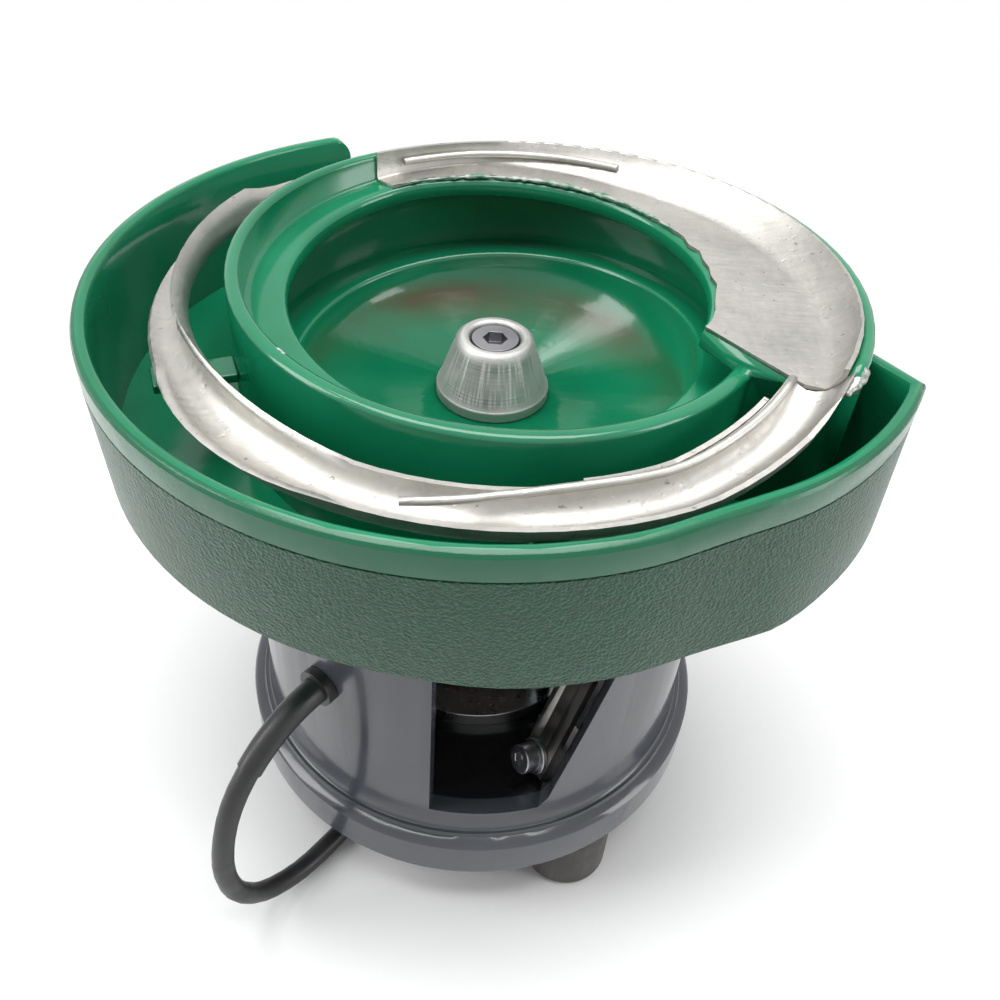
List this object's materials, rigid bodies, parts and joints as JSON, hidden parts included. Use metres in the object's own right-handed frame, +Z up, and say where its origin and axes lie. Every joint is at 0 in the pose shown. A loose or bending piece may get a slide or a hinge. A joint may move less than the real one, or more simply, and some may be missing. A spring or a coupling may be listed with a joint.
{
  "type": "vibratory bowl feeder",
  "caption": "Bench vibratory feeder: cast spiral bowl with conical centre nut, outer return pan and steel discharge channel on a sprung magnet drive with rubber feet.",
  "frame": {"origin": "drive axis where it meets the floor, in the plane under the three rubber feet", "axes": "+Z up along the drive axis, -Y towards the side seen from the front, +X to the right"},
  "size_m": [0.1655, 0.2106, 0.1547],
  "materials": {
    "base_enamel": "gloss blue-grey stoving enamel over a casting",
    "green_coating": "glossy green wear coating over an aluminium casting",
    "dark_steel": "dark zinc plated sheet",
    "screw_steel": "zinc plated screws",
    "foot_rubber": "grey-black buffer rubber with light dust",
    "bright_steel": "ground steel",
    "core_laminate": "varnished core laminations",
    "copper_coil": "varnished copper winding",
    "spring_steel": "bright spring steel strip",
    "plate_aluminium": "machined aluminium",
    "turned_aluminium": "fine turned aluminium",
    "stainless": "hand polished stainless sheet and wire with weld marks",
    "black_plastic": "black moulded plastic",
    "cable_jacket": "black flexible cable jacket"
  },
  "bodies": {
    "base": {"base_casting": "base_enamel", "bottom_cover": "dark_steel", "cover_screws": "screw_steel", "rubber_foot_1": "foot_rubber", "rubber_foot_2": "foot_rubber", "rubber_foot_3": "foot_rubber", "foot_studs": "screw_steel", "magnet_bracket": "bright_steel", "magnet_core": "core_laminate", "coil_winding": "copper_coil", "bracket_screws": "screw_steel", "leaf_spring_1": "spring_steel", "leaf_spring_2": "spring_steel", "leaf_spring_3": "spring_steel", "lower_clamps": "bright_steel", "lower_screws": "screw_steel", "strain_relief": "black_plastic", "power_cord": "cable_jacket", "cord_coil": "cable_jacket", "cord_tail": "cable_jacket", "plug_body": "black_plastic", "plug_collar": "turned_aluminium"},
    "bowl": {"upper_clamps": "bright_steel", "upper_screws": "screw_steel", "vibration_plate": "plate_aluminium", "armature": "core_laminate", "armature_screws": "screw_steel", "centre_bolt": "screw_steel", "cone_nut": "turned_aluminium", "return_pan": "green_coating", "spiral_bowl": "green_coating", "track_liner": "stainless", "hold_down_wire": "stainless", "discharge_channel": "stainless", "edge_strip": "stainless", "guide_wire": "stainless", "channel_bracket_1": "green_coating", "channel_bracket_2": "green_coating", "channel_bracket_3": "green_coating"}
  },
  "joints": [
    {"name": "bowl_swing", "type": "hinge", "parent": "base", "child": "bowl", "pos_m": [0, 0, 0.064], "axis": [0, 0, 1], "range_deg": [-0.5, 0.5], "stiffness_Nm_per_rad": 18, "deforming": ["leaf_spring_1", "leaf_spring_2", "leaf_spring_3"]}
  ]
}
